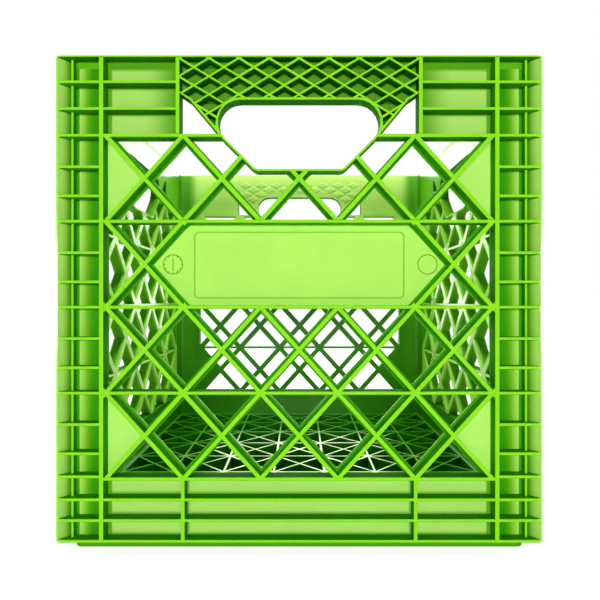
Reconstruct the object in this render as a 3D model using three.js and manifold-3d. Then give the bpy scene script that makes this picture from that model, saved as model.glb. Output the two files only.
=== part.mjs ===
// A square, stackable storage crate, injection moulded in one shot of lime-green polyethylene:
// four latticed walls with hand holes, ribbed corner posts and bands, a grid floor and a stacking foot.
// Each section of the moulding is a solid of its own. Units are millimetres and +Z is up; the origin is
// at the middle of the foot's underside, and the wall with the label plate in front faces -Y.
import * as THREE from 'three';
import { mergeVertices } from 'three/addons/utils/BufferGeometryUtils.js';
import Module from 'manifold-3d';

// Body
const WIDTH = 305; // outside, the same in both directions
const BODY_HEIGHT = 301.6; // underside of the walls to the top of the rim
const WALL = 9.5; // from the edges of the ribs to the smooth inside
const SKIN = 2; // moulded skin on the inside of the ribs
const CORNER_RADIUS = 5.5; // outer upright edges
const INNER_RADIUS = 4; // upright edges of the inside
const SEAM = 0.05; // clearance between neighbouring sections

// Stacking rim and foot
const RIM_PLATE = 1.25; // thickness of the flat rim
const FLARE = 2.2; // how far the mouth opens on each side
const FLARE_SPARE = 0.5; // slope of the mouth that goes on below the foot of a crate above
const LIP_SKIN = 1; // skin left between the ribs and the mouth at the very top
const LIP_HEIGHT = 5.2; // slope of the skin's outside, under the rim
const FOOT_DROP = 7; // foot below the walls
const FOOT_PLAY = 0.2; // clearance of the foot in the mouth of a crate below
const FOOT_WIDTH = 6; // flat underside of the foot

// Ribs, bands and posts
const RIB = 1.9; // shelves and waffle borders
const FLAT_BAR = 2.1; // level bars of the lattice
const LOWER_BAND = 39.4; // underside of the walls to the lattice
const UPPER_BAND = 49.6; // lattice to the top of the rim
const BAND_CELLS = 3; // pockets one above the other in both bands
const BAND_UPRIGHT = 72; // upright ribs of the lower band, from the middle of the wall
const BAND_RIB = 2.4;
const POST = 31.4; // corner post along each wall
const POST_RIB = 2.8; // upright rib that closes the post
const POST_SHELVES = [0.295, 0.634]; // shelves between two lattice levels, as shares of the row
const POST_LIFT = 1.4; // the post's shelf over the lower band sits this much higher
const POST_BEAD = 1.5; // low upright bead where the rib to the corner leaves the skin
const POST_BEAD_REACH = 3.8;
const POST_BEAD_PLACE = 10.6; // middle of the bead, from the outside of the crate

// Lattice
const ROWS = 4;
const COLUMNS = 5;
const BAR = 2.75; // edge of a slanted bar
const BAR_FLANGE = 5.5; // slanted bar at the inside face

// Hand hole and its waffle grip
const HOLE_WIDTH = 100.6; // widest, below the round upper corners
const HOLE_BOTTOM = 54; // flat sill
const HOLE_HEIGHT = 42.9;
const HOLE_SILL_RISE = 20.6; // height of the two slanted lower sides
const HOLE_LEAN = 2.7; // how far each upper side leans in on its way down
const HOLE_RADIUS = 14; // upper corners
const HOLE_SIDE_RADIUS = 12; // where a slanted side turns up
const HOLE_SILL_RADIUS = 5; // ends of the sill
const HOLE_STEPS = 6; // steps in a quarter turn around the hole
const HOLE_DROP = 27.5; // top of the hole below the rim
const HOLE_LIP = 1.4; // full-depth lip around the hole
const GRIP_WIDTH = 148; // waffle between the two corner panels
const PANEL_RIB = 2.5; // upright rib between panel and waffle
const WAFFLE_PITCH = 18.6; // diamonds of the waffle
const WAFFLE_RISE = 11.2;
const WAFFLE_DROP = 1.9; // highest crossing of the ribs below the top of the rim
const WAFFLE_RIB = 1.4;
const BRACE_TOP = 23.4; // edge of the waffle meets the panel this far below the rim
const BRACE_RUN = 7; // and turns steeper after this run along the wall, level with the top of the hole

// Label plate
const FRAME_WIDTH = 131.6; // shallow panel pressed into the plate
const FRAME_HEIGHT = 40.7;
const FRAME_RADIUS = 2.5;
const FRAME_DEPTH = 0.5;

// Floor
const FLOOR_CELLS = 7;
const FLOOR_BAR = 2;
const FLOOR_TOP = 19.6;
const FLOOR_DEPTH = 12;

// Colours of the one plastic as the photograph shows its thick and thin sections
const COLOURS = { rib: 0x6fd51c, skin: 0x9be25a, floor: 0x59c012 };
const ROUGHNESS = 0.42;

// Steps in a quarter turn, how far cutting shapes run past what they cut, and the flatness of merged faces
const CORNER_STEPS = 3;
const OVERRUN = 20;
const FLATNESS = 0.002;

// Places worked out from the sizes above
const half = WIDTH / 2;
const inner = half - WALL;
const postEdge = half - POST;
const wallBottom = FOOT_DROP;
const lowestRib = wallBottom + RIB / 2;
const lowerLevel = (level) => lowestRib + (level * (LOWER_BAND - RIB / 2)) / BAND_CELLS;
const top = FOOT_DROP + BODY_HEIGHT;
const flareHeight = FOOT_DROP + FLARE_SPARE;
const rimUnderside = top - RIM_PLATE;
const rowPitch = (BODY_HEIGHT - LOWER_BAND - UPPER_BAND) / ROWS;
const columnPitch = (2 * postEdge - BAR) / COLUMNS;
const rowLine = (row) => wallBottom + LOWER_BAND + row * rowPitch;
const columnLine = (column) => (column - COLUMNS / 2) * columnPitch;
const lastRow = ROWS - 1;
const latticeBottom = rowLine(0) + FLAT_BAR / 2 + SEAM;
const latticeTop = rowLine(lastRow) + FLAT_BAR / 2;
const shoulderTop = rowLine(ROWS) + FLAT_BAR / 2;
const holeTop = top - HOLE_DROP;
const holeBottom = holeTop - HOLE_HEIGHT;
const gripEdge = GRIP_WIDTH / 2;
const braceTurn = gripEdge - BRACE_RUN;

const wasm = await Module();
wasm.setup();

// Solids

function solid(geometry) {
  geometry.deleteAttribute('normal');
  geometry.deleteAttribute('uv');
  const merged = mergeVertices(geometry);
  const vertProperties = new Float32Array(merged.attributes.position.array);
  const triVerts = new Uint32Array(merged.index.array);
  return new wasm.Manifold(new wasm.Mesh({ numProp: 3, vertProperties, triVerts }));
}

function join(solids) {
  return solids.reduce((whole, piece) => whole.add(piece));
}

function box(x0, x1, y0, y1, z0, z1) {
  const block = new THREE.BoxGeometry(x1 - x0, y1 - y0, z1 - z0);
  return solid(block.translate((x0 + x1) / 2, (y0 + y1) / 2, (z0 + z1) / 2));
}

const point = (x, y) => new THREE.Vector2(x, y);

// An outline drawn on the front wall, seen from outside, as a plate between two depths below the rib edges.
function plate(outline, depth0, depth1) {
  const sheet = new THREE.ExtrudeGeometry(new THREE.Shape(outline), {
    depth: depth1 - depth0,
    bevelEnabled: false,
  });
  return solid(sheet.rotateX(Math.PI / 2).translate(0, depth1 - half, 0));
}

function rectangle(u0, u1, z0, z1) {
  return [point(u0, z0), point(u1, z0), point(u1, z1), point(u0, z1)];
}

// A straight strip between two points of the wall, run on past both ends.
function strip(from, to, width, depth0, depth1) {
  const along = to.clone().sub(from).normalize();
  const side = point(-along.y, along.x).multiplyScalar(width / 2);
  const start = from.clone().addScaledVector(along, -OVERRUN);
  const end = to.clone().addScaledVector(along, OVERRUN);
  const outline = [
    start.clone().sub(side),
    end.clone().sub(side),
    end.clone().add(side),
    start.clone().add(side),
  ];
  return plate(outline, depth0, depth1);
}

// A slanted bar of the lattice: a rib with a wider flange on the inside of the crate.
function slantedBar(from, to) {
  return strip(from, to, BAR, 0, WALL).add(strip(from, to, BAR_FLANGE, WALL - SKIN, WALL));
}

// A level rib or bar centred on a height of the wall.
function levelBar(u0, u1, z, thickness) {
  return plate(rectangle(u0, u1, z - thickness / 2, z + thickness / 2), 0, WALL);
}

function uprightBar(u, z0, z1, thickness) {
  return plate(rectangle(u - thickness / 2, u + thickness / 2, z0, z1), 0, WALL);
}

// A convex outline, counter-clockwise, with each side moved outwards by its own amount.
function moveSides(outline, amounts) {
  const count = outline.length;
  const sides = outline.map((from, i) => {
    const along = outline[(i + 1) % count].clone().sub(from).normalize();
    const outward = point(along.y, -along.x);
    return { along, from: from.clone().addScaledVector(outward, amounts[i]) };
  });
  return sides.map((side, i) => {
    const before = sides[(i + count - 1) % count];
    const between = side.from.clone().sub(before.from);
    const reach = between.cross(side.along) / before.along.cross(side.along);
    return before.from.clone().addScaledVector(before.along, reach);
  });
}

function grow(outline, amount) {
  return moveSides(outline, outline.map(() => amount));
}

// A square with round corners, counter-clockwise.
function roundSquare(halfWidth, radius) {
  const straight = halfWidth - radius;
  const outline = [];
  for (let corner = 0; corner < 4; corner += 1) {
    const centre = point(straight, straight).rotateAround(point(0, 0), (corner * Math.PI) / 2);
    for (let step = 0; step <= CORNER_STEPS; step += 1) {
      const angle = ((corner + step / CORNER_STEPS) * Math.PI) / 2;
      outline.push(point(centre.x + radius * Math.cos(angle), centre.y + radius * Math.sin(angle)));
    }
  }
  return outline;
}

// A solid through square sections with round corners, listed from the bottom up.
function tower(levels) {
  const rings = levels.map(({ halfWidth, radius }) => roundSquare(halfWidth, radius));
  const count = rings[0].length;
  const positions = rings.flatMap((ring, level) => ring.flatMap(({ x, y }) => [x, y, levels[level].z]));
  const faces = [];
  for (let level = 0; level + 1 < levels.length; level += 1) {
    for (let i = 0; i < count; i += 1) {
      const low = level * count + i;
      const lowNext = level * count + ((i + 1) % count);
      faces.push(low, lowNext, lowNext + count, low, lowNext + count, low + count);
    }
  }
  const lastRing = (levels.length - 1) * count;
  for (let i = 1; i + 1 < count; i += 1) {
    faces.push(0, i + 1, i, lastRing, lastRing + i, lastRing + i + 1);
  }
  const geometry = new THREE.BufferGeometry();
  geometry.setAttribute('position', new THREE.Float32BufferAttribute(positions, 3));
  geometry.setIndex(faces);
  return solid(geometry);
}

// The inside of the crate or the outside of its skin: upright, with a mouth that flares at the top.
function vessel(halfWidth, radius, flare, flareHeight) {
  return tower([
    { z: -OVERRUN, halfWidth, radius },
    { z: top - flareHeight, halfWidth, radius },
    { z: top, halfWidth: halfWidth + flare, radius: radius + flare },
    { z: top + OVERRUN, halfWidth: halfWidth + flare, radius: radius + flare },
  ]);
}

const inside = vessel(inner, INNER_RADIUS, FLARE, flareHeight);
const skinBody = vessel(inner + SKIN, INNER_RADIUS + SKIN, FLARE + LIP_SKIN - SKIN, LIP_HEIGHT);
const envelope = tower([
  { z: wallBottom, halfWidth: half, radius: CORNER_RADIUS },
  { z: top, halfWidth: half, radius: CORNER_RADIUS },
]);

// Skin with the ribs on its outside, inside one outline of the wall.
function ribbedPanel(outline, ribs) {
  const block = plate(outline, 0, WALL);
  return join([skinBody, ...ribs]).intersect(block).subtract(inside);
}

// Sections of one wall

function lowerBand() {
  const ribs = [-BAND_UPRIGHT, BAND_UPRIGHT].map((u) => uprightBar(u, wallBottom, latticeBottom, BAND_RIB));
  ribs.push(levelBar(-half, half, rowLine(0), FLAT_BAR));
  for (let level = 0; level < BAND_CELLS; level += 1) {
    ribs.push(levelBar(-half, half, lowerLevel(level), RIB));
  }
  const reach = postEdge - SEAM;
  return ribbedPanel(rectangle(-reach, reach, wallBottom, latticeBottom - SEAM), ribs);
}

// The slanted bars between two levels, each in one straight run, leaning right and left.
function slantedBars(firstRow, lastLine) {
  const rows = lastLine - firstRow;
  const bars = [];
  for (let shift = 1 - rows; shift < COLUMNS; shift += 1) {
    const start = Math.max(0, -shift);
    const end = Math.min(rows, COLUMNS - shift);
    const from = point(columnLine(shift + start), rowLine(firstRow + start));
    const to = point(columnLine(shift + end), rowLine(firstRow + end));
    bars.push(slantedBar(from, to), slantedBar(point(-from.x, from.y), point(-to.x, to.y)));
  }
  return bars;
}

// The skin that closes the end triangle of a lattice row, against the post on one side.
function gusset(row, side) {
  const end = side * columnLine(COLUMNS);
  const outline = [
    point(side * half, rowLine(row)),
    point(end, rowLine(row)),
    point(side * columnLine(COLUMNS - 0.5), rowLine(row + 0.5)),
    point(end, rowLine(row + 1)),
    point(side * half, rowLine(row + 1)),
  ];
  return plate(outline, WALL - SKIN, WALL);
}

// The six-sided field of the label plate, out to the middle lines of the bars around it.
function labelField() {
  const row = lastRow - 1;
  const middle = rowLine(row + 0.5);
  const tip = columnLine(COLUMNS - 0.5);
  const shoulder = columnLine(COLUMNS - 1);
  return [
    point(-tip, middle),
    point(-shoulder, rowLine(row)),
    point(shoulder, rowLine(row)),
    point(tip, middle),
    point(shoulder, rowLine(row + 1)),
    point(-shoulder, rowLine(row + 1)),
  ];
}

// Amounts to draw the label field in to the faces of its bars; the second and fifth sides are level.
function labelInset(clearance) {
  const slanted = -BAR_FLANGE / 2 - clearance;
  const level = -FLAT_BAR / 2 - clearance;
  return [slanted, level, slanted, slanted, level, slanted];
}

function lattice(hasLabel) {
  const field = rectangle(-postEdge + SEAM, postEdge - SEAM, latticeBottom, latticeTop);
  const bars = [...slantedBars(0, lastRow), gusset(0, -1), gusset(0, 1)];
  let net = join(bars);
  if (hasLabel) {
    net = net.subtract(plate(moveSides(labelField(), labelInset(0)), -OVERRUN, WALL + OVERRUN));
  }
  for (let row = 1; row <= lastRow; row += 1) {
    net = net.add(levelBar(-half, half, rowLine(row), FLAT_BAR));
  }
  return net.intersect(plate(field, 0, WALL));
}

function labelPlate() {
  const sheet = plate(moveSides(labelField(), labelInset(SEAM)), WALL - SKIN, WALL);
  const middle = rowLine(lastRow - 0.5);
  const corner = point(FRAME_WIDTH / 2 - FRAME_RADIUS, FRAME_HEIGHT / 2 - FRAME_RADIUS);
  const outline = [];
  for (let quarter = 0; quarter < 4; quarter += 1) {
    const right = quarter === 0 || quarter === 3 ? 1 : -1;
    const up = quarter < 2 ? 1 : -1;
    for (let step = 0; step <= CORNER_STEPS; step += 1) {
      const angle = ((quarter + step / CORNER_STEPS) * Math.PI) / 2;
      const x = right * corner.x + FRAME_RADIUS * Math.cos(angle);
      const z = middle + up * corner.y + FRAME_RADIUS * Math.sin(angle);
      outline.push(point(x, z));
    }
  }
  return sheet.subtract(plate(outline, WALL - SKIN - OVERRUN, WALL - SKIN + FRAME_DEPTH));
}

// Points of a counter-clockwise turn about a centre.
function turnAbout(centre, start, angle) {
  const steps = Math.max(1, Math.round((angle * 2 * HOLE_STEPS) / Math.PI));
  const turned = (step) => start.clone().rotateAround(centre, (angle * step) / steps);
  return Array.from({ length: steps + 1 }, (_, step) => turned(step));
}

// A corner between two straight sides, made round.
function roundCorner(before, corner, after, radius) {
  const into = corner.clone().sub(before).normalize();
  const out = after.clone().sub(corner).normalize();
  const angle = Math.asin(into.cross(out));
  const start = corner.clone().addScaledVector(into, -radius * Math.tan(angle / 2));
  const centre = start.clone().add(point(-into.y, into.x).multiplyScalar(radius));
  return turnAbout(centre, start, angle);
}

// The hand hole, counter-clockwise from the right end of its sill: slanted sides, sides that lean in
// a little, and round corners.
function handHole() {
  const sillEnd = point(HOLE_BOTTOM / 2, holeBottom);
  const sideFoot = point(HOLE_WIDTH / 2 - HOLE_LEAN, holeBottom + HOLE_SILL_RISE);
  const centre = point(HOLE_WIDTH / 2 - HOLE_RADIUS, holeTop - HOLE_RADIUS);
  const lean = Math.atan(HOLE_LEAN / (centre.y - sideFoot.y));
  const sideTop = point(centre.x + HOLE_RADIUS, centre.y).rotateAround(centre, -lean);
  const right = [
    ...roundCorner(point(-sillEnd.x, sillEnd.y), sillEnd, sideFoot, HOLE_SILL_RADIUS),
    ...roundCorner(sillEnd, sideFoot, sideTop, HOLE_SIDE_RADIUS),
    ...turnAbout(centre, sideTop, Math.PI / 2 + lean),
  ];
  const left = right.map(({ x, y }) => point(-x, y)).reverse();
  return [...right, ...left];
}

const hole = plate(handHole(), -OVERRUN, WALL + OVERRUN);
const lipOutline = grow(handHole(), HOLE_LIP);
const lip = plate(lipOutline, 0, WALL).subtract(hole);

// The slanted edge of the waffle: from the panel to its turn, then steeper to the lip beside the sill.
function braceLine(side) {
  const start = point(side * gripEdge, top - BRACE_TOP);
  const turn = point(side * braceTurn, holeTop);
  const end = point(side * (HOLE_WIDTH / 2 - HOLE_LEAN + HOLE_LIP / 2), holeBottom + HOLE_SILL_RISE);
  return [start, turn, end];
}

function lowerBraceAt(side, z) {
  const [, turn, end] = braceLine(side);
  const share = (turn.y - z) / (turn.y - end.y);
  return turn.x + share * (end.x - turn.x);
}

// The lattice beside the hand hole with the level bar over it.
function shoulder(side) {
  const near = side * (columnLine(Math.ceil(COLUMNS / 2)) + SEAM / 2);
  const far = side * (postEdge - SEAM);
  const field = plate(rectangle(near, far, latticeTop + SEAM, shoulderTop), 0, WALL);
  const bars = [...slantedBars(lastRow, ROWS), gusset(lastRow, side), lip];
  bars.push(levelBar(-half, half, rowLine(ROWS), FLAT_BAR));
  return join(bars).subtract(hole).intersect(field);
}

// The bottom of the hand hole with the crossed bars that carry it and the small web between them.
function sill() {
  const reach = columnLine(Math.ceil(COLUMNS / 2)) - SEAM / 2;
  const field = plate(rectangle(-reach, reach, latticeTop + SEAM, rowLine(ROWS)), 0, WALL);
  const crossing = point(0, rowLine(lastRow + 0.5));
  const opening = columnLine(COLUMNS / 2 + 0.5);
  const web = [crossing, point(opening, rowLine(ROWS)), point(-opening, rowLine(ROWS))];
  const bars = [...slantedBars(lastRow, ROWS), plate(web, WALL - SKIN, WALL), lip];
  return join(bars).subtract(hole).intersect(field);
}

// The crossed ribs of the waffle, hung from the middle of the rim.
function waffle() {
  const reach = GRIP_WIDTH / 2 + UPPER_BAND;
  const rise = (2 * reach * WAFFLE_RISE) / WAFFLE_PITCH;
  const count = Math.ceil(reach / WAFFLE_PITCH) * 2;
  const ribs = [];
  for (let line = -count; line <= count; line += 1) {
    const start = line * WAFFLE_PITCH;
    const from = point(start - reach, top - WAFFLE_DROP - rise / 2);
    const to = point(start + reach, top - WAFFLE_DROP + rise / 2);
    ribs.push(strip(from, to, WAFFLE_RIB, 0, WALL));
    ribs.push(strip(point(-from.x, from.y), point(-to.x, to.y), WAFFLE_RIB, 0, WALL));
  }
  return ribs;
}

const waffleRibs = join(waffle());
const upperBraces = [-1, 1].map((side) => strip(...braceLine(side).slice(0, 2), RIB, 0, WALL));
const lowerBraces = [-1, 1].map((side) => strip(...braceLine(side).slice(1), RIB, 0, WALL));

// The waffle between the two panels, down to the top of the hand hole.
function grip() {
  const reach = gripEdge - SEAM;
  const braceStart = top - BRACE_TOP;
  const foot = braceTurn + RIB / 2;
  const outline = [
    point(-foot, holeTop),
    point(foot, holeTop),
    point(reach, braceStart),
    point(reach, rimUnderside - SEAM),
    point(-reach, rimUnderside - SEAM),
    point(-reach, braceStart),
  ];
  return ribbedPanel(outline, [waffleRibs, lip, ...upperBraces]);
}

// The waffle carried down beside the hand hole.
function cheek(side) {
  const upper = holeTop - SEAM;
  const lower = shoulderTop + SEAM;
  const outline = [
    point(lowerBraceAt(side, lower) + (side * RIB) / 2, lower),
    point(lowerBraceAt(side, upper) + (side * RIB) / 2, upper),
    point((side * HOLE_BOTTOM) / 2, upper),
    point((side * HOLE_BOTTOM) / 2, lower),
  ];
  return ribbedPanel(outline, [waffleRibs, lip, ...lowerBraces]).subtract(hole);
}

// The ribbed panel between the post and the waffle.
function cornerPanel(side) {
  const near = side * gripEdge;
  const far = side * (postEdge - SEAM);
  const lower = shoulderTop + SEAM;
  const pitch = UPPER_BAND / BAND_CELLS;
  const ribs = [uprightBar(near + (side * PANEL_RIB) / 2, lower, top, PANEL_RIB)];
  for (let level = 1; level < BAND_CELLS; level += 1) {
    ribs.push(levelBar(-half, half, top - level * pitch, RIB));
  }
  return ribbedPanel(rectangle(near, far, lower, rimUnderside - SEAM), ribs);
}

// The corner between two walls: skin, shelves at every level, upright ribs and a rib to the corner.
function cornerPost() {
  const levels = [];
  const upperPitch = UPPER_BAND / BAND_CELLS;
  for (let level = 1; level < BAND_CELLS; level += 1) {
    levels.push(lowerLevel(level), top - level * upperPitch);
  }
  levels.push(lowestRib, rowLine(0) + POST_LIFT, rowLine(ROWS));
  for (let row = 0; row < ROWS; row += 1) {
    levels.push(...POST_SHELVES.map((share) => rowLine(row) + share * rowPitch));
  }
  for (let row = 1; row < ROWS; row += 1) {
    levels.push(rowLine(row));
  }
  const shelves = levels.map((z) => box(-half, -postEdge, -half, -postEdge, z - RIB / 2, z + RIB / 2));
  const closeA = box(-postEdge - POST_RIB, -postEdge, -half, -inner, wallBottom, top);
  const closeB = box(-half, -inner, -postEdge - POST_RIB, -postEdge, wallBottom, top);
  const beadMiddle = POST_BEAD_PLACE - half;
  const bead = [beadMiddle - POST_BEAD / 2, beadMiddle + POST_BEAD / 2];
  const beadFace = -inner - SKIN - POST_BEAD_REACH;
  const beadA = box(...bead, beadFace, -inner, wallBottom, top);
  const beadB = box(beadFace, -inner, ...bead, wallBottom, top);
  const cornerRib = new THREE.BoxGeometry(POST_RIB, WIDTH, BODY_HEIGHT);
  cornerRib.translate(0, -half * Math.SQRT2, wallBottom + BODY_HEIGHT / 2).rotateZ(-Math.PI / 4);
  const block = box(-half, -postEdge, -half, -postEdge, wallBottom, rimUnderside - SEAM);
  const whole = join([...shelves, closeA, closeB, beadA, beadB, solid(cornerRib), skinBody]);
  return whole.intersect(envelope).intersect(block).subtract(inside);
}

// Sections that run round the whole crate

function topRim() {
  return envelope.intersect(box(-WIDTH, WIDTH, -WIDTH, WIDTH, rimUnderside, top)).subtract(inside);
}

// The outer face follows the flare of the mouth that the foot drops into.
function stackingFoot() {
  const level = (z) => {
    const growth = FLARE * (1 - (FOOT_DROP - z) / flareHeight) - FOOT_PLAY;
    return { z, halfWidth: inner + growth, radius: INNER_RADIUS + growth };
  };
  const ring = tower([level(0), level(FOOT_DROP - SEAM)]);
  const opening = level(0).halfWidth - FOOT_WIDTH;
  return ring.subtract(tower([
    { z: -OVERRUN, halfWidth: opening, radius: INNER_RADIUS },
    { z: FOOT_DROP + OVERRUN, halfWidth: opening, radius: INNER_RADIUS },
  ]));
}

// Square cells, each with two bars crossed corner to corner.
function floorGrid() {
  const reach = inner - SEAM;
  const pitch = (2 * reach - FLOOR_BAR) / FLOOR_CELLS;
  const line = (i) => -reach + FLOOR_BAR / 2 + i * pitch;
  const low = FLOOR_TOP - FLOOR_DEPTH;
  const bars = [];
  for (let i = 0; i <= FLOOR_CELLS; i += 1) {
    const from = line(i) - FLOOR_BAR / 2;
    bars.push(box(from, from + FLOOR_BAR, -reach, reach, low, FLOOR_TOP));
    bars.push(box(-reach, reach, from, from + FLOOR_BAR, low, FLOOR_TOP));
  }
  for (let shift = 1 - FLOOR_CELLS; shift < FLOOR_CELLS; shift += 1) {
    const length = (FLOOR_CELLS - Math.abs(shift)) * pitch * Math.SQRT2;
    const middle = (shift * pitch) / 2;
    for (const lean of [-1, 1]) {
      const bar = new THREE.BoxGeometry(length, FLOOR_BAR, FLOOR_DEPTH);
      bar.rotateZ((lean * Math.PI) / 4).translate(-middle, lean * middle, FLOOR_TOP - FLOOR_DEPTH / 2);
      bars.push(solid(bar));
    }
  }
  const outline = tower([
    { z: low, halfWidth: reach, radius: INNER_RADIUS },
    { z: FLOOR_TOP, halfWidth: reach, radius: INNER_RADIUS },
  ]);
  return join(bars).intersect(outline);
}

// The scene: four walls, each a group turned about the upright axis, and the sections that run round.

function piece(name, body, colour) {
  const { vertProperties, triVerts } = body.asOriginal().simplify(FLATNESS).getMesh();
  const geometry = new THREE.BufferGeometry();
  geometry.setAttribute('position', new THREE.BufferAttribute(vertProperties, 3));
  geometry.setIndex(new THREE.BufferAttribute(triVerts, 1));
  geometry.computeVertexNormals();
  const material = new THREE.MeshStandardMaterial({ color: colour, roughness: ROUGHNESS, metalness: 0 });
  const mesh = new THREE.Mesh(geometry, material);
  mesh.name = name;
  return mesh;
}

const crate = new THREE.Group();
crate.add(piece('top_rim', topRim(), COLOURS.rib));
crate.add(piece('stacking_foot', stackingFoot(), COLOURS.floor));
crate.add(piece('floor_grid', floorGrid(), COLOURS.floor));

const WALLS = [
  { name: 'front', post: 'front_left', label: true },
  { name: 'right', post: 'front_right', label: false },
  { name: 'back', post: 'back_right', label: true },
  { name: 'left', post: 'back_left', label: false },
];
const SIDES = { left: -1, right: 1 };

WALLS.forEach(({ name, post, label }, quarter) => {
  const wall = new THREE.Group();
  wall.rotation.z = (quarter * Math.PI) / 2;
  wall.add(piece(`post_${post}`, cornerPost(), COLOURS.rib));
  wall.add(piece(`${name}_lower_band`, lowerBand(), COLOURS.skin));
  wall.add(piece(`${name}_lattice`, lattice(label), COLOURS.rib));
  wall.add(piece(`${name}_handle_sill`, sill(), COLOURS.rib));
  wall.add(piece(`${name}_waffle_grip`, grip(), COLOURS.skin));
  if (label) {
    wall.add(piece(`${name}_label_plate`, labelPlate(), COLOURS.skin));
  }
  for (const [hand, side] of Object.entries(SIDES)) {
    wall.add(piece(`${name}_shoulder_${hand}`, shoulder(side), COLOURS.rib));
    wall.add(piece(`${name}_cheek_${hand}`, cheek(side), COLOURS.skin));
    wall.add(piece(`${name}_panel_${hand}`, cornerPanel(side), COLOURS.skin));
  }
  crate.add(wall);
});

export default crate;
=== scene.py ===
import math

import bmesh
import bpy
from mathutils import Matrix, Vector
from mathutils.bvhtree import BVHTree


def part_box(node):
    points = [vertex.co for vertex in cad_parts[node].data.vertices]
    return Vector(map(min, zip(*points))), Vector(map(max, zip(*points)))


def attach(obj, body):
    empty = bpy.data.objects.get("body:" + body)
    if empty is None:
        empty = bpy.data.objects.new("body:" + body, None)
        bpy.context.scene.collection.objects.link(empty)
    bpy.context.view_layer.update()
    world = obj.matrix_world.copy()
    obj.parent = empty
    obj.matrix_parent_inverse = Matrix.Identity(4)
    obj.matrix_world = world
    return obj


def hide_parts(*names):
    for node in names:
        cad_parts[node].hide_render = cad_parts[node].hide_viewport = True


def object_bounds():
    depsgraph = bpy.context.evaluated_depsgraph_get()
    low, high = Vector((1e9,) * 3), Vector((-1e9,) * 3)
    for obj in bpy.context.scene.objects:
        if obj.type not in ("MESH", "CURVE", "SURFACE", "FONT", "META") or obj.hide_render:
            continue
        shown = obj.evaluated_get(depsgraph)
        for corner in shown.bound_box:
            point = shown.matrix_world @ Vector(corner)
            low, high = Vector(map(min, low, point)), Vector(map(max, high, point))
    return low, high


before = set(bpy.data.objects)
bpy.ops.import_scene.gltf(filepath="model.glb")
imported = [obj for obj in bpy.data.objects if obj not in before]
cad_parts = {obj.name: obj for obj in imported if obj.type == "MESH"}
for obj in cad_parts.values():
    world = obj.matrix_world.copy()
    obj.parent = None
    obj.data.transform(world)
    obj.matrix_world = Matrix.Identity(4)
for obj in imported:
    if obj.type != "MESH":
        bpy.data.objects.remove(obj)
moulded_low, moulded_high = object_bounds()


# Stacking foot: the stepped ring under the floor that drops into the mouth of a crate below.
# It comes in the same shot of lime polyethylene as the whole crate, so the plastic and the
# rounding of moulded edges start here. The foot drags over floors and is scuffed the most.
class Wire:
    """A shader socket that takes part in sums as a number does."""

    MIX_FIRST = 6
    MIX_OTHER = 7
    MIX_RESULT = 2

    def __init__(self, socket):
        self.socket = socket
        self.tree = socket.id_data

    @staticmethod
    def feed(made, inputs):
        """Sets or links the sockets of a node, by name or number."""
        for name, value in inputs.items():
            if isinstance(value, Wire):
                made.id_data.links.new(value.socket, made.inputs[name])
            else:
                made.inputs[name].default_value = value

    @staticmethod
    def node(tree, kind, settings, inputs, output=0):
        """Any node: its settings go first, then the values or links of its sockets."""
        made = tree.nodes.new(kind)
        for name, setting in settings.items():
            if name == "stops":
                ramp = made.color_ramp
                ramp.elements.remove(ramp.elements[1])
                ramp.elements[0].position, ramp.elements[0].color = setting[0]
                for position, colour in setting[1:]:
                    ramp.elements.new(position).color = colour
            else:
                setattr(made, name, setting)
        Wire.feed(made, inputs)
        return Wire(made.outputs[output]) if made.outputs else None

    def combine(self, operation, first, second):
        """The Math node for one operation on sockets or numbers."""
        return Wire.node(self.tree, "ShaderNodeMath", {"operation": operation}, {0: first, 1: second})

    def __add__(self, other):
        return self.combine("ADD", self, other)

    def __radd__(self, other):
        return self.combine("ADD", other, self)

    def __sub__(self, other):
        return self.combine("SUBTRACT", self, other)

    def __rsub__(self, other):
        return self.combine("SUBTRACT", other, self)

    def __mul__(self, other):
        return self.combine("MULTIPLY", self, other)

    def __rmul__(self, other):
        return self.combine("MULTIPLY", other, self)

    def __gt__(self, other):
        return self.combine("GREATER_THAN", self, other)

    def __lt__(self, other):
        return self.combine("LESS_THAN", self, other)

    def tint(self, colour, other):
        """The first colour where this mask is 0 and the other where it is 1."""
        inputs = {"Factor": self, self.MIX_FIRST: colour, self.MIX_OTHER: other}
        return Wire.node(self.tree, "ShaderNodeMix", {"data_type": "RGBA"}, inputs, self.MIX_RESULT)

    def climb(self, low, high):
        """A mask that rises smoothly from 0 at the low value to 1 at the high one."""
        inputs = {"Value": self, "From Min": low, "From Max": high}
        return Wire.node(self.tree, "ShaderNodeMapRange", {"interpolation_type": "SMOOTHSTEP"}, inputs)

    def graded(self, stops, low, high):
        """The colour at this value, blended between stops that lie from low to high."""
        span = high - low
        share = (self - low) * (1.0 / span)
        shares = [((value - low) / span, colour) for value, colour in stops]
        return Wire.node(self.tree, "ShaderNodeValToRGB", {"stops": shares}, {0: share})


TONES = ("skin", "flank", "inside", "edge")
RIB_LIME = (0.28, 0.79, 0.015, 1.0)
# The skin colour is paler than the ribs, partly for the skin's etched finish and partly as painted light
# that shines through the thin skin.
BACKLIT_SKIN_LIME = (0.435, 0.80, 0.145, 1.0)
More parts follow.
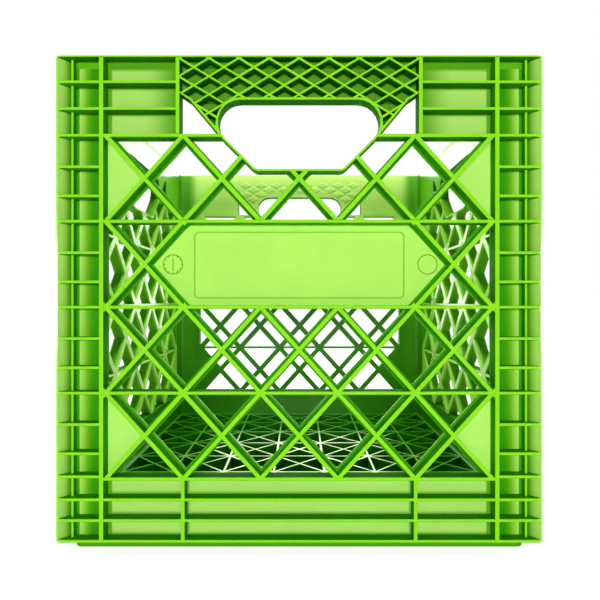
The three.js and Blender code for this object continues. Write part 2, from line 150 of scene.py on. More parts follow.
# The flank colour is painted shade: the sides and undersides of ribs are drawn darker than their fronts.
SHADED_FLANK_LIME = (0.050, 0.38, 0.001, 1.0)
SCUFF_LIME = (0.50, 0.90, 0.20, 1.0)
CLOUD_SCALE = 38.0
CLOUD_DETAIL = 3.0
GRAIN_SCALE = 2600.0
GRAIN_DETAIL = 2.0
GRAIN_STRENGTH = 0.12
GRAIN_RISE = 0.0002
RUB_SCALE = 420.0
RUB_DETAIL = 4.0
SHADE = 0.90
CLOUD_SHADE = 0.16
GRAIN_SHADE = 0.04
ROUGHNESS = 0.44
FLANK_ROUGHNESS = 0.20
CLOUD_ROUGHNESS = 0.10
WORN_ROUGHNESS = 0.06
PLASTIC_IOR = 1.5
PLASTIC_SPECULAR = 0.05
GLOSS = 0.80
CLOUD_GLOSS = 0.20
EDGE_GLOSS = 0.4
GLOSS_ROUGHNESS = 0.16
GLOSS_IOR = 1.3


def lime_polyethylene(
    name, scuffs, rib=RIB_LIME, skin=BACKLIT_SKIN_LIME, flank=SHADED_FLANK_LIME, inside=RIB_LIME, grain_scale=GRAIN_SCALE
):
    """Lime polyethylene: deep on the flanks of ribs as painted shade, pale in the thin skin partly for
    its etched finish and partly as painted light through it, whitened where edges rub.

    The skin and the inside take a colour, or a function that gives one over the surface.
    """
    plastic = bpy.data.materials.new(name)
    plastic.use_nodes = True
    tree = plastic.node_tree
    place = Wire.node(tree, "ShaderNodeTexCoord", {}, {}, "Object")
    is_skin, is_shaded_flank, is_inside, is_edge = (
        Wire.node(tree, "ShaderNodeAttribute", {"attribute_name": tone}, {}, "Fac") for tone in TONES
    )
    noises = ((CLOUD_SCALE, CLOUD_DETAIL), (grain_scale, GRAIN_DETAIL), (RUB_SCALE, RUB_DETAIL))
    clouds, grain, rubbed = (
        Wire.node(tree, "ShaderNodeTexNoise", {}, {"Vector": place, "Scale": scale, "Detail": detail})
        for scale, detail in noises
    )
    skin, inside = (tone(tree, place) if callable(tone) else tone for tone in (skin, inside))
    clean = is_inside.tint(is_skin.tint(is_shaded_flank.tint(rib, flank), skin), inside)
    worn = is_edge * rubbed * scuffs
    shade = SHADE + CLOUD_SHADE * clouds + GRAIN_SHADE * grain
    colour = Wire.node(
        tree, "ShaderNodeVectorMath", {"operation": "SCALE"},
        {0: worn.tint(clean, SCUFF_LIME), "Scale": shade},
    )
    roughness = ROUGHNESS + FLANK_ROUGHNESS * is_shaded_flank + CLOUD_ROUGHNESS * clouds + WORN_ROUGHNESS * worn
    gloss = (is_inside + EDGE_GLOSS * is_edge) * (GLOSS + CLOUD_GLOSS * clouds)
    relief = Wire.node(
        tree, "ShaderNodeBump", {},
        {"Strength": GRAIN_STRENGTH, "Distance": GRAIN_RISE, "Height": grain},
    )
    Wire.feed(tree.nodes["Principled BSDF"], {
        "Base Color": colour,
        "Roughness": roughness,
        "IOR": PLASTIC_IOR,
        "Specular IOR Level": PLASTIC_SPECULAR,
        "Coat Weight": gloss,
        "Coat Roughness": GLOSS_ROUGHNESS,
        "Coat IOR": GLOSS_IOR,
        "Normal": relief,
    })
    return plastic


JOIN_GAP = 0.00012
SKIN_DEPTH = 0.0022
CORNER_SAG = 0.0003
INSIDE_RADIUS = 0.004
FAR_INSIDE = -1.0
CORNER_RIB = 0.0025
FLANGE_WIDTH = 0.0025
FLOOR_TOP = 0.021
FACING_UP = 0.9
SQUARE_ON = 0.7
EDGE_ON = 0.3
FLANK_LIMIT = 0.5
FLARE_STEEP = -0.1
FLARE_FLAT = -0.5
# Shares of the flank's painted shade on the flare and on the edges of the skin.
FLARE_SHADE = 0.75
FLANGE_SHADE = 0.4
inside_half = -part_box("front_lattice")[1][1]
corners = []
facets = []
facet_owners = []
for node_name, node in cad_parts.items():
    first_corner = len(corners)
    corners += [vertex.co.copy() for vertex in node.data.vertices]
    for polygon in node.data.polygons:
        facets.append([first_corner + index for index in polygon.vertices])
        facet_owners.append(node_name)
whole_crate = BVHTree.FromPolygons(corners, facets)


def runs_on(node_name, point):
    """True where the moulding carries on into the next section."""
    near = whole_crate.find_nearest_range(point, JOIN_GAP)
    return any(facet_owners[index] != node_name for _, _, index, _ in near)


def wall_facing(point, normal):
    """How squarely a face lies along the wall, and how far it is outside the smooth inner face."""
    straight = inside_half - INSIDE_RADIUS
    out = Vector((max(abs(point.x) - straight, 0.0), max(abs(point.y) - straight, 0.0), 0.0))
    if out.length == 0.0:
        return 0.0, FAR_INSIDE
    depth = out.length - INSIDE_RADIUS
    out.x = math.copysign(out.x, point.x)
    out.y = math.copysign(out.y, point.y)
    return out.normalized().dot(normal), depth


def strip_width(face):
    """The width of a face, taken as a long strip."""
    return 2 * face.calc_area() / face.calc_perimeter()


def tones_of(face):
    """How far a face takes the thin skin's pale tone, the painted shade of a rib's flank, the inside tone
    and the rubbed edge.
    """
    point = face.calc_center_median()
    square, depth = wall_facing(point, face.normal)
    if face.normal.z > FACING_UP and depth < SKIN_DEPTH and point.z < FLOOR_TOP:
        return {"inside": 1.0}
    on_corner_rib = abs(abs(point.x) - abs(point.y)) < CORNER_RIB and depth > SKIN_DEPTH
    if on_corner_rib and abs(face.normal.z) < EDGE_ON:
        return {"skin": float(abs(square) < EDGE_ON), "edge": float(square > SQUARE_ON)}
    in_skin = -CORNER_SAG < depth < SKIN_DEPTH
    if in_skin and square < -SQUARE_ON:
        return {"inside": 1.0}
    if in_skin and square > SQUARE_ON:
        # Narrow flange fronts, the edges of the skin, the flare's sloping face and faces that run across
        # the wall take the flank's painted shade.
        return {"skin": 1.0} if strip_width(face) > FLANGE_WIDTH else {"flank": 1.0}
    if in_skin and abs(square) < EDGE_ON:
        return {"flank": FLANGE_SHADE, "edge": 1.0}
    if square > SQUARE_ON and FLARE_FLAT < face.normal.z < FLARE_STEEP:
        return {"flank": FLARE_SHADE}
    in_floor = square < 0.0 and depth < -CORNER_SAG
    return {"flank": float(abs(square) < FLANK_LIMIT or in_floor)}


EDGE_RADIUS = 0.0003
ROUND_STEPS = 2
ROUND_PROFILE = 0.5
ROUNDED_ANGLE = 0.5
ROUNDING_TRIES = 12
CRAMPED_RADII = 4
CRAMPED_RUNS = 2.5
KEEP_CLEAR = 0.0015
PROBES = (0.2, 0.5, 0.8)
JOINED_PROBES = 2
WELD_GAP = 1e-6
FLAT_ANGLE = 0.01
FOLD_LIMIT = 0.5
SMALLEST_FACET = 1e-10
SMOOTH_ANGLE = math.radians(50)


def rounded_shape(node_name, sharp_places):
    """A section's mesh with its free edges rounded, and the faces that the rounding made."""
    shape = bmesh.new()
    shape.from_mesh(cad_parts[node_name].data)
    bmesh.ops.remove_doubles(shape, verts=shape.verts, dist=WELD_GAP)
    bmesh.ops.dissolve_limit(shape, angle_limit=FLAT_ANGLE, verts=shape.verts, edges=shape.edges)
    cramped = set()
    for face in shape.faces:
        for loop in face.loops:
            run = EDGE_RADIUS / math.tan(max(loop.calc_angle(), FLAT_ANGLE) / 2)
            shortest = min(loop.edge.calc_length(), loop.link_loop_prev.edge.calc_length())
            if shortest < max(CRAMPED_RADII * EDGE_RADIUS, CRAMPED_RUNS * run):
                cramped.add(loop.vert)
    for vertex in shape.verts:
        if any((vertex.co - place).length < KEEP_CLEAR for place in sharp_places):
            cramped.add(vertex)
    free_edges = []
    for edge in shape.edges:
        if edge.calc_face_angle_signed() < ROUNDED_ANGLE or not cramped.isdisjoint(edge.verts):
            continue
        start, end = (vertex.co for vertex in edge.verts)
        if sum(runs_on(node_name, start.lerp(end, share)) for share in PROBES) < JOINED_PROBES:
            free_edges.append(edge)
    rounded = bmesh.ops.bevel(
        shape, geom=free_edges, offset=EDGE_RADIUS, offset_type="OFFSET", segments=ROUND_STEPS,
        profile=ROUND_PROFILE, affect="EDGES", clamp_overlap=False,
    )
    return shape, set(rounded["faces"])


def folded_places(shape):
    """Corners where the rounding has folded a face over itself."""
    places = []
    for loops in shape.calc_loop_triangles():
        first, second, third = (loop.vert.co for loop in loops)
        facing = (second - first).cross(third - first)
        if facing.length > SMALLEST_FACET and facing.normalized().dot(loops[0].face.normal) < FOLD_LIMIT:
            places += [first.copy(), second.copy(), third.copy()]
    return places


def smooth_to_corners(shape):
    """Smooth shading that stops at the corners of the shape."""
    for face in shape.faces:
        face.smooth = True
    for edge in shape.edges:
        edge.smooth = edge.calc_face_angle(math.pi) < SMOOTH_ANGLE


def add_piece(name, shape, plastic):
    """Adds a finished shape to the crate as a piece of its own, in one plastic."""
    mesh = bpy.data.meshes.new(name)
    shape.to_mesh(mesh)
    shape.free()
    mesh.materials.append(plastic)
    piece = bpy.data.objects.new(name, mesh)
    bpy.context.scene.collection.objects.link(piece)
    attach(piece, "root")
    return piece


def mould(node_name, plastic):
    """One section of the moulding, with its free edges rounded and its faces toned."""
    sharp_places = []
    for _ in range(ROUNDING_TRIES):
        shape, round_faces = rounded_shape(node_name, sharp_places)
        folds = folded_places(shape)
        if not folds:
            break
        sharp_places += folds
    layers = {tone: shape.faces.layers.float.new(tone) for tone in TONES}
    for face in shape.faces:
        tones = {"edge": 1.0} if face in round_faces else tones_of(face)
        for tone, share in tones.items():
            face[layers[tone]] = share
    smooth_to_corners(shape)
    piece = add_piece("moulded_" + node_name, shape, plastic)
    piece.modifiers.new("flat_faces", "WEIGHTED_NORMAL").keep_sharp = True
    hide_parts(node_name)
    return piece


FOOT_LIME = (0.10, 0.42, 0.004, 1.0)
foot_plastic = lime_polyethylene(
    "foot_plastic", scuffs=1.0, rib=FOOT_LIME, skin=FOOT_LIME, inside=FOOT_LIME
)
mould("stacking_foot", foot_plastic)

# Floor grid: square bars with crossed bars in each cell, in the same plastic and in one with the
# walls. The tops of the bars carry a painted reflection, pale round the middle, and painted shade,
# deep green towards the walls. The flanks of the bars are painted darker still.
FLOOR_SHADED_FLANK_LIME = (0.010, 0.15, 0.0002, 1.0)
FLOOR_TOP_SHADE_LIME = (0.06, 0.33, 0.002, 1.0)
FLOOR_GLINT_LIME = (0.66, 0.93, 0.26, 1.0)
GLINT_PLACE = (0.0, -0.03, 0.0196)
GLINT_FULL = 0.05
GLINT_REACH = 0.125


def floor_top_glint_and_shade(tree, place):
    """The tops of the floor bars: a painted reflection, pale round the middle, and painted shade, green
    by the walls.
    """
    away = Wire.node(
        tree, "ShaderNodeVectorMath", {"operation": "DISTANCE"}, {0: place, 1: GLINT_PLACE}, "Value"
    )
    return away.climb(GLINT_FULL, GLINT_REACH).tint(FLOOR_GLINT_LIME, FLOOR_TOP_SHADE_LIME)


floor_plastic = lime_polyethylene("floor_plastic", scuffs=0.8, flank=FLOOR_SHADED_FLANK_LIME, inside=floor_top_glint_and_shade)
mould("floor_grid", floor_plastic)

# Lower bands: a thin skin at the bottom of each wall, stiffened by level and upright ribs that
# are moulded with it. The skin has painted shade where it runs up to the ribs, and a painted
# olive shadow beside the corner posts. Inside, every wall has painted shade: deep by the floor
# and paler up at the mouth.
WALLS = ("front", "right", "back", "left")
INSIDE_SHADE_STOPS = (
    (0.02, (0.020, 0.17, 0.0005, 1.0)),
    (0.15, (0.040, 0.23, 0.0007, 1.0)),
    (0.19, (0.18, 0.54, 0.015, 1.0)),
    (0.24, (0.54, 0.94, 0.14, 1.0)),
    (0.30, (0.62, 0.96, 0.20, 1.0)),
)
SIDE_INSIDE_SHADE_STOPS = (
    (0.02, (0.022, 0.20, 0.0006, 1.0)),
    (0.11, (0.040, 0.26, 0.001, 1.0)),
    (0.20, (0.080, 0.42, 0.002, 1.0)),
    (0.25, (0.17, 0.66, 0.004, 1.0)),
    (0.300, (0.17, 0.66, 0.004, 1.0)),
    (0.302, (0.66, 0.95, 0.26, 1.0)),
)
# Painted shade: darker flanks, a darker border round each cell of skin at the ribs, and an olive shadow
# of the upright rib at the ends of the skin.
BAND_SHADED_FLANK_LIME = (0.028, 0.31, 0.0005, 1.0)
RIB_SHADOW_LIME = (0.13, 0.41, 0.012, 1.0)
RIB_SHADOW_START = 0.1179
RIB_SHADOW_FULL = 0.1190
ROOT_SHADE_LIME = (0.10, 0.38, 0.006, 1.0)
ROOT_SHADE_WIDTH = 0.0020
CELL_WIDTHS = 2.2
crate_half, _, crate_height = moulded_high


def wall_sides(tree, place):
    """How far a point is from the middle of the crate across and to the back, and its height."""
    sides = Wire.node(tree, "ShaderNodeVectorMath", {"operation": "ABSOLUTE"}, {0: place})
    split = Wire.node(tree, "ShaderNodeSeparateXYZ", {}, {0: sides}).socket.node
    return [Wire(socket) for socket in split.outputs]


def along_wall(tree, place):
    """How far a point is from the middle of its wall, in metres."""
    across, back, _ = wall_sides(tree, place)
    return across.combine("MINIMUM", across, back)


def inside_shade(tree, place, back_levels=INSIDE_SHADE_STOPS, side_levels=SIDE_INSIDE_SHADE_STOPS):
    """The painted shade of the inner faces by height, on the front and back walls and on the side walls.
    """
    across, back, height = wall_sides(tree, place)
    tones = [height.graded(levels, 0.0, crate_height) for levels in (back_levels, side_levels)]
    return (across > back).tint(*tones)


def rib_shadow_ends(tree, place):
    """Pale skin with a painted olive shadow of the upright rib beside the corner posts."""
    return along_wall(tree, place).climb(RIB_SHADOW_START, RIB_SHADOW_FULL).tint(BACKLIT_SKIN_LIME, RIB_SHADOW_LIME)


def root_shaded(tree, skin):
    """Skin with painted shade on the border of each cell, where it meets the ribs."""
    is_root_shade = Wire.node(tree, "ShaderNodeAttribute", {"attribute_name": "thick"}, {}, "Fac")
    return is_root_shade.tint(skin, ROOT_SHADE_LIME)


def band_skin(tree, place):
    """The skin of a lower band, with the painted shadow at its ends and painted shade on its borders."""
    return root_shaded(tree, rib_shadow_ends(tree, place))


def root_shade_borders(piece):
    """Gives each wide cell of skin a border for painted shade, full at the ribs and none at its inner
    line.
    """
    shape = bmesh.new()
    shape.from_mesh(piece.data)
    skin = shape.faces.layers.float["skin"]
    thick = shape.verts.layers.float.new("thick")
    cells = [face for face in shape.faces if face[skin] and strip_width(face) > CELL_WIDTHS * ROOT_SHADE_WIDTH]
    for vertex in {vertex for cell in cells for vertex in cell.verts}:
        vertex[thick] = 1.0
    bmesh.ops.inset_individual(shape, faces=cells, thickness=ROOT_SHADE_WIDTH, use_even_offset=True)
    for vertex in {vertex for cell in cells for vertex in cell.verts}:
        vertex[thick] = 0.0
    smooth_to_corners(shape)
    shape.to_mesh(piece.data)
    shape.free()


band_plastic = lime_polyethylene(
    "band_plastic", scuffs=0.6, skin=band_skin, flank=BAND_SHADED_FLANK_LIME, inside=inside_shade
)
for wall in WALLS:
    root_shade_borders(mould(wall + "_lower_band", band_plastic))

# Corner posts: shelves and upright ribs round each corner, with a rib out to the corner and a
# small bead on each side, moulded with the walls. The skin has a painted shadow beside the upright
# rib and painted shade beside the bead, and the inside has darker painted shade in the corner.
POST_SKIN_SHADE_STOPS = (
    (0.1285, (0.036, 0.31, 0.0008, 1.0)),
    (0.1312, (0.045, 0.36, 0.0008, 1.0)),
    (0.1337, (0.145, 0.45, 0.004, 1.0)),
    (0.1362, (0.300, 0.65, 0.055, 1.0)),
    (0.1385, BACKLIT_SKIN_LIME),
    (0.1395, BACKLIT_SKIN_LIME),
    (0.1408, (0.075, 0.31, 0.0015, 1.0)),
    (0.1445, (0.085, 0.33, 0.003, 1.0)),
    (0.1462, (0.280, 0.65, 0.060, 1.0)),
    (0.1480, BACKLIT_SKIN_LIME),
)
POST_CORNER_SHADE_STOPS = (
    (0.02, (0.022, 0.18, 0.0005, 1.0)),
    (0.11, (0.050, 0.28, 0.0008, 1.0)),
    (0.25, (0.092, 0.41, 0.002, 1.0)),
)
POST_INSIDE_EDGE = 0.1211
CORNER_SHADE_EDGE = 0.1345


def shaded_post_skin(tree, place):
    """The pale skin of a post, with a painted shadow beside the upright rib and painted shade beside the
    bead.
    """
    return along_wall(tree, place).graded(POST_SKIN_SHADE_STOPS, POST_INSIDE_EDGE, crate_half)


def post_inside_shade(tree, place):
    """The inside of a post: as the walls beside it, and darker painted shade in the corner."""
    in_corner_shade = along_wall(tree, place).climb(POST_INSIDE_EDGE, CORNER_SHADE_EDGE)
    corner = inside_shade(tree, place, POST_CORNER_SHADE_STOPS, POST_CORNER_SHADE_STOPS)
    return in_corner_shade.tint(inside_shade(tree, place), corner)


post_plastic = lime_polyethylene("post_plastic", scuffs=0.3, skin=shaded_post_skin, inside=post_inside_shade)
for post in ("front_left", "front_right", "back_right", "back_left"):
    mould("post_" + post, post_plastic)

# Lattices: crossed bars of T section in three rows, with shoulders beside the hand hole and a
# sill under it, all in one with the wall. The bars are rubbed by goods and hands.
# The gussets are the thin skin of the lattice: paler than the bars, partly for their etched finish and
# partly as painted light through them.
BACKLIT_GUSSET_LIME = (0.50, 0.93, 0.155, 1.0)
# The side lattices are painted paler inside and take lighter painted shade on their flanks, as painted
# light coming in through the side walls.
SIDE_SHADED_FLANK_LIME = (0.16, 0.56, 0.010, 1.0)
SIDE_LATTICE_LIT_LIME = (0.50, 0.86, 0.13, 1.0)
lattice_plastic = lime_polyethylene("lattice_plastic", scuffs=0.5, skin=BACKLIT_GUSSET_LIME, inside=inside_shade)
side_lattice_plastic = lime_polyethylene(
    "side_lattice_plastic", scuffs=0.5, skin=BACKLIT_GUSSET_LIME, flank=SIDE_SHADED_FLANK_LIME, inside=SIDE_LATTICE_LIT_LIME
)
for wall in WALLS:
    plastic = side_lattice_plastic if wall in ("left", "right") else lattice_plastic
    for section in ("_lattice", "_shoulder_left", "_shoulder_right", "_handle_sill"):
        mould(wall + section, plastic)

# Label plates: flat plates in the front and back lattices with a shallow framed field, finely
# etched so that a label sticks. A frame line, a date dial and a plain ring stand proud of each
# plate, cut into the mould as fine grooves.
PLATE_TURNS = {"front": 0.0, "back": math.pi}
# The plate colour is paler than the ribs, partly for the plate's fine etching and partly as painted light
# through the thin plate.
BACKLIT_PLATE_LIME = (0.47, 0.92, 0.125, 1.0)
PLATE_GRAIN_SCALE = 5200.0
MARK_LIME = (0.12, 0.42, 0.004, 1.0)
FRAME_LIME = (0.29, 0.66, 0.06, 1.0)
FIELD_PLACE = (0.0, 0.179275)
FIELD_WIDTH = 0.1316
FIELD_HEIGHT = 0.0407
FRAME_RADIUS = 0.003
FRAME_LINE = 0.0009
DIAL_PLACE = (-0.0799, 0.1797)
RING_PLACE = (0.0812, 0.1797)
MARK_RADIUS = 0.0061
LINE_WIDTH = 0.0006
LINE_RISE = 0.0003
LINE_TOP = 0.5
LINE_SLOPE = 0.5
TICKS = 12
TICK_LENGTH = 0.0012
POINTER_LENGTH = 0.0078
QUARTER_STEPS = 16
BEAD_SECTION = ((-0.5, 0.0), (-0.35, 0.75), (0.0, 1.0), (0.35, 0.75), (0.5, 0.0))
BEAD_CORNERS = ((1, 1), (1, -1), (-1, -1), (-1, 1))
plate_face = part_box("front_label_plate")[0][1]
plate_plastic = lime_polyethylene(
    "plate_plastic", scuffs=0.4, skin=BACKLIT_PLATE_LIME, inside=inside_shade, grain_scale=PLATE_GRAIN_SCALE
)
mark_plastic = lime_polyethylene("mark_plastic", scuffs=0.2, rib=MARK_LIME)
frame_plastic = lime_polyethylene("frame_plastic", scuffs=0.2, rib=FRAME_LIME)


def join_rings(shape, ring, following):
    """The band of faces between two rings with the same number of corners."""
    for index in range(len(ring)):
        after = (index + 1) % len(ring)
        shape.faces.new((ring[index], ring[after], following[after], following[index]))


def raised_bead(shape, half_width, half_height, radius, line_width):
    """A low half-round bead on the plate's face, round a rectangle with round corners or a circle."""
    loops = []
    for quarter, (side, up) in enumerate(BEAD_CORNERS):
        for step in range(QUARTER_STEPS + 1):
            angle = math.pi / 2 * (quarter + step / QUARTER_STEPS)
            loop = []
            for across, rise in BEAD_SECTION:
                reach = radius + across * line_width
                loop.append(shape.verts.new((
                    side * (half_width - radius) + reach * math.sin(angle),
                    -rise * LINE_RISE,
                    up * (half_height - radius) + reach * math.cos(angle),
                )))
            loops.append(loop)
    for loop, following in zip(loops, loops[1:] + loops[:1]):
        join_rings(shape, loop, following)
    bmesh.ops.remove_doubles(shape, verts=shape.verts, dist=WELD_GAP)


def raised_line(shape, angle, inner, outer):
    """A low ridge with sloping sides, along one direction from the middle of the mark."""
    turn = Matrix.Rotation(angle, 3, "Y")
    slope = LINE_RISE * LINE_SLOPE
    half = LINE_WIDTH / 2
    rings = []
    for start, end, side, rise in (
        (inner, outer, half, 0.0), (inner + slope, outer - slope, half * LINE_TOP, LINE_RISE)
    ):
        places = ((-side, start), (-side, end), (side, end), (side, start))
        rings.append([shape.verts.new(turn @ Vector((across, -rise, reach))) for across, reach in places])
    base, top = rings
    shape.faces.new(top)
    shape.faces.new(base[::-1])
    join_rings(shape, base, top)


def on_plate(name, shape, place, turn, plastic):
    """Sets a raised mark or frame on the face of a plate."""
    bmesh.ops.recalc_face_normals(shape, faces=shape.faces)
    smooth_to_corners(shape)
    across, height = place
    shape.transform(Matrix.Rotation(turn, 4, "Z") @ Matrix.Translation((across, plate_face, height)))
    add_piece(name, shape, plastic)


for wall, turn in PLATE_TURNS.items():
    mould(wall + "_label_plate", plate_plastic)
    frame_bead = bmesh.new()
    frame_half_width = FIELD_WIDTH / 2 + FRAME_LINE / 2
    frame_half_height = FIELD_HEIGHT / 2 + FRAME_LINE / 2
    raised_bead(frame_bead, frame_half_width, frame_half_height, FRAME_RADIUS, FRAME_LINE)
    on_plate(wall + "_label_frame", frame_bead, FIELD_PLACE, turn, frame_plastic)
    dial = bmesh.new()
    raised_bead(dial, MARK_RADIUS, MARK_RADIUS, MARK_RADIUS, LINE_WIDTH)
    for tick in range(TICKS):
        angle = 2 * math.pi * tick / TICKS
        raised_line(dial, angle, MARK_RADIUS - TICK_LENGTH, MARK_RADIUS - LINE_WIDTH / 2)
    raised_line(dial, 0.0, -POINTER_LENGTH / 2, POINTER_LENGTH / 2)
    on_plate(wall + "_date_dial", dial, DIAL_PLACE, turn, mark_plastic)
    ring = bmesh.new()
    raised_bead(ring, MARK_RADIUS, MARK_RADIUS, MARK_RADIUS, LINE_WIDTH)
    on_plate(wall + "_plain_ring", ring, RING_PLACE, turn, mark_plastic)

# Hand hole grips and cheeks: slim crossed ribs over the thin skin above and beside each hand
# hole, for stiffness under the fingers. They are moulded with the wall, and behind the front
# and back grips the skin sinks opposite the ribs, which leaves a shallow pillow in each cell.
# The skin and flanks in the waffle cells are painted dark, as painted shade in the deep cells.
WAFFLE_SHADED_SKIN_LIME = (0.11, 0.34, 0.010, 1.0)
WAFFLE_SHADED_FLANK_LIME = (0.022, 0.24, 0.0005, 1.0)
CELL_HALF_WIDTH = 0.0093
CELL_HALF_HEIGHT = 0.0056
CROSSING_DROP = 0.0019
PILLOW_ROWS = range(2, 7)
PILLOW_COLUMNS = range(-7, 8)
PILLOW_LEVELS = ((0.80, -0.0001), (0.72, 0.0002), (0.40, 0.0005))
top_crossing = crate_height - CROSSING_DROP
grip_plastic = lime_polyethylene(
    "grip_plastic", scuffs=0.5, skin=WAFFLE_SHADED_SKIN_LIME, flank=WAFFLE_SHADED_FLANK_LIME, inside=inside_shade
)


def diamond(across, height, share=1.0):
    """The four tips of a waffle cell, or of a smaller one about the same middle."""
    wide = share * CELL_HALF_WIDTH
    high = share * CELL_HALF_HEIGHT
    return (
        (across - wide, height), (across, height - high),
        (across + wide, height), (across, height + high),
    )


def has_skin(across, height):
    """True where the inner face of the front wall is closed."""
    _, _, _, gap = whole_crate.find_nearest((across, -inside_half, height))
    return gap < JOIN_GAP


def pillow_cells():
    """The middle of each waffle cell that has the closed skin behind it, across and up the wall."""
    cells = []
    for row in PILLOW_ROWS:
        for column in PILLOW_COLUMNS:
            across = column * CELL_HALF_WIDTH
            height = top_crossing - row * CELL_HALF_HEIGHT
            is_cell = (row + column) % 2 == 1
            if is_cell and all(has_skin(*tip) for tip in diamond(across, height)):
                cells.append((across, height))
    return cells


for wall in WALLS:
    for section in ("_waffle_grip", "_cheek_left", "_cheek_right"):
        mould(wall + section, grip_plastic)
for wall, turn in PLATE_TURNS.items():
    pillows = bmesh.new()
    for across, height in pillow_cells():
        rings = []
        for share, rise in PILLOW_LEVELS:
            tips = diamond(across, height, share)
            rings.append([pillows.verts.new((x, rise - inside_half, z)) for x, z in tips])
        pillows.faces.new(rings[0])
        pillows.faces.new(rings[-1])
        for ring, following in zip(rings, rings[1:]):
            join_rings(pillows, ring, following)
    bmesh.ops.recalc_face_normals(pillows, faces=pillows.faces)
    pillows.transform(Matrix.Rotation(turn, 4, "Z"))
    inside = pillows.faces.layers.float.new("inside")
    for face in pillows.faces:
        face[inside] = 1.0
    add_piece(wall + "_grip_pillows", pillows, grip_plastic)

# Corner panels: the ribbed ends of the upper band, a thin skin and its ribs moulded as in the
# lower bands. The skin also has painted green shade towards the hand hole.
PANEL_SHADED_FLANK_LIME = (0.024, 0.24, 0.0005, 1.0)
HANDLE_SHADE_LIME = (0.11, 0.41, 0.003, 1.0)
HANDLE_SIDE = 0.076
HANDLE_REACH = 0.098


def panel_skin(tree, place):
    """The skin of a panel: painted green shade by the hand hole, and further out as the skin of a lower
    band.
    """
    clear_of_handle_shade = along_wall(tree, place).climb(HANDLE_SIDE, HANDLE_REACH)
    return root_shaded(tree, clear_of_handle_shade.tint(HANDLE_SHADE_LIME, rib_shadow_ends(tree, place)))


panel_plastic = lime_polyethylene(
    "panel_plastic", scuffs=0.6, skin=panel_skin, flank=PANEL_SHADED_FLANK_LIME, inside=inside_shade
)
for wall in WALLS:
    for side in ("_panel_left", "_panel_right"):
        root_shade_borders(mould(wall + side, panel_plastic))

# Rim: the flat flange round the mouth, with the flare that takes the foot of a crate above, in
# one with the walls. Its top is scuffed by the crates that have stood on it.
# The rim's flanks and underside are painted darker, as painted shade.
RIM_SHADED_FLANK_LIME = (0.040, 0.30, 0.0008, 1.0)
rim_plastic = lime_polyethylene("rim_plastic", scuffs=0.5, flank=RIM_SHADED_FLANK_LIME, inside=inside_shade)
mould("top_rim", rim_plastic)

# Studio floor and backdrop: plain white paper that keeps the crate's shadow. The crate's sheen
# shows the same white as the camera sees.
FLOOR_REACH = 1.2
FLOOR_WHITE = (0.6, 0.6, 0.6, 1.0)
FLOOR_GLOW = 0.8
PAPER_WHITE = (1.0, 1.0, 1.0, 1.0)
AMBIENT = 0.04
BACKDROP_GLOW = 1.0


def seen_directly(tree):
    """A mask of the rays that look at the background, not of those that light the crate."""
    rays = Wire.node(tree, "ShaderNodeLightPath", {}, {}).socket.node.outputs
    return Wire(rays["Is Camera Ray"]) + Wire(rays["Is Glossy Ray"]) + Wire(rays["Is Transmission Ray"])


floor_mesh = bpy.data.meshes.new("studio_floor")
floor_corners = [
    (-FLOOR_REACH, -FLOOR_REACH, 0.0), (FLOOR_REACH, -FLOOR_REACH, 0.0),
    (FLOOR_REACH, FLOOR_REACH, 0.0), (-FLOOR_REACH, FLOOR_REACH, 0.0),
]
floor_mesh.from_pydata(floor_corners, [], [(0, 1, 2, 3)])
floor = bpy.data.objects.new("studio_floor", floor_mesh)
bpy.context.scene.collection.objects.link(floor)
paper = bpy.data.materials.new("studio_paper")
paper.use_nodes = True
paper_tree = paper.node_tree
paper_tree.nodes.clear()
matt = Wire.node(paper_tree, "ShaderNodeBsdfDiffuse", {}, {"Color": FLOOR_WHITE})
floor_glow = FLOOR_GLOW * seen_directly(paper_tree)
glow = Wire.node(paper_tree, "ShaderNodeEmission", {}, {"Color": PAPER_WHITE, "Strength": floor_glow})
lit_paper = Wire.node(paper_tree, "ShaderNodeAddShader", {}, {0: matt, 1: glow})
Wire.node(paper_tree, "ShaderNodeOutputMaterial", {}, {"Surface": lit_paper})
floor_mesh.materials.append(paper)

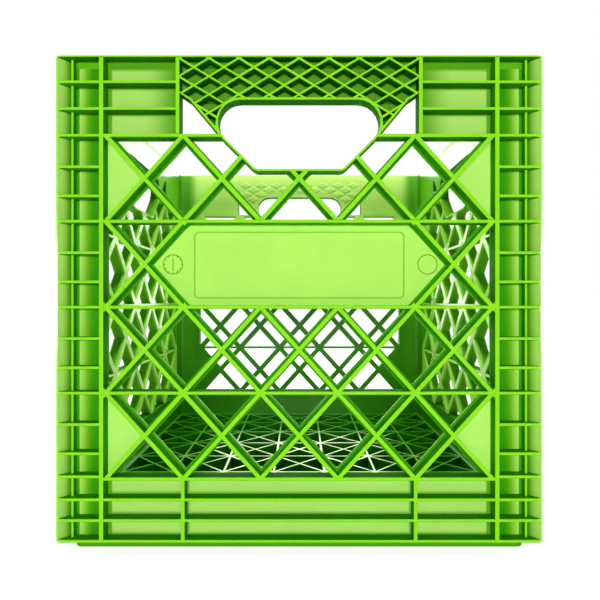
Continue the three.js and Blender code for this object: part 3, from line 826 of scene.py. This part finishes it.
studio = bpy.data.worlds.new("studio")
bpy.context.scene.world = studio
studio.use_nodes = True
studio_tree = studio.node_tree
studio_tree.nodes.clear()
soft, white = (
    Wire.node(studio_tree, "ShaderNodeBackground", {}, {"Color": PAPER_WHITE, "Strength": strength})
    for strength in (AMBIENT, BACKDROP_GLOW)
)
seen = seen_directly(studio_tree)
backdrop = Wire.node(studio_tree, "ShaderNodeMixShader", {}, {0: seen, 1: soft, 2: white})
Wire.node(studio_tree, "ShaderNodeOutputWorld", {}, {"Surface": backdrop})


# Studio lights: a soft box in front, above the camera, one low at each side, one behind, and
# one over the mouth that reaches the floor grid.
def softbox(name, place, aim, width, height, watts):
    """A rectangular soft light that faces a point."""
    lamp = bpy.data.lights.new(name, "AREA")
    lamp.shape = "RECTANGLE"
    lamp.size, lamp.size_y = width, height
    lamp.energy = watts
    holder = bpy.data.objects.new(name, lamp)
    holder.location = place
    holder.rotation_euler = (Vector(aim) - Vector(place)).to_track_quat("-Z", "Y").to_euler()
    holder.visible_camera = False
    bpy.context.scene.collection.objects.link(holder)


FRONT_AIM = (0.0, 0.0, 0.157)
CRATE_MIDDLE = (0.0, 0.0, 0.155)
FLOOR_AIM = (0.0, 0.05, 0.15)
softbox("front_box", place=(0.0, -2.2, 0.40), aim=FRONT_AIM, width=0.6, height=0.3, watts=32)
softbox("left_box", place=(-1.3, 0.25, 0.17), aim=CRATE_MIDDLE, width=0.9, height=0.3, watts=12)
softbox("right_box", place=(1.3, 0.25, 0.17), aim=CRATE_MIDDLE, width=0.9, height=0.3, watts=12)
softbox("back_box", place=(0.0, 1.6, 0.45), aim=CRATE_MIDDLE, width=1.0, height=0.8, watts=14)
softbox("mouth_box", place=(0.0, -0.13, 1.25), aim=FLOOR_AIM, width=0.28, height=0.28, watts=11)

# Camera: a wide lens, close up and level, straight at the middle of the front wall.
# Colours are shown as they are written.
CAMERA_LENS = 30.0
CAMERA_SENSOR = 36.0
CAMERA_PLACE = (0.0005, -0.4615, 0.1572)
camera = bpy.data.cameras.new("front_view")
camera.lens = CAMERA_LENS
camera.sensor_width = CAMERA_SENSOR
camera_holder = bpy.data.objects.new("front_view", camera)
camera_holder.location = CAMERA_PLACE
camera_holder.rotation_euler = (math.pi / 2, 0.0, 0.0)
bpy.context.scene.collection.objects.link(camera_holder)
bpy.context.scene.camera = camera_holder
bpy.context.scene.view_settings.view_transform = "Standard"
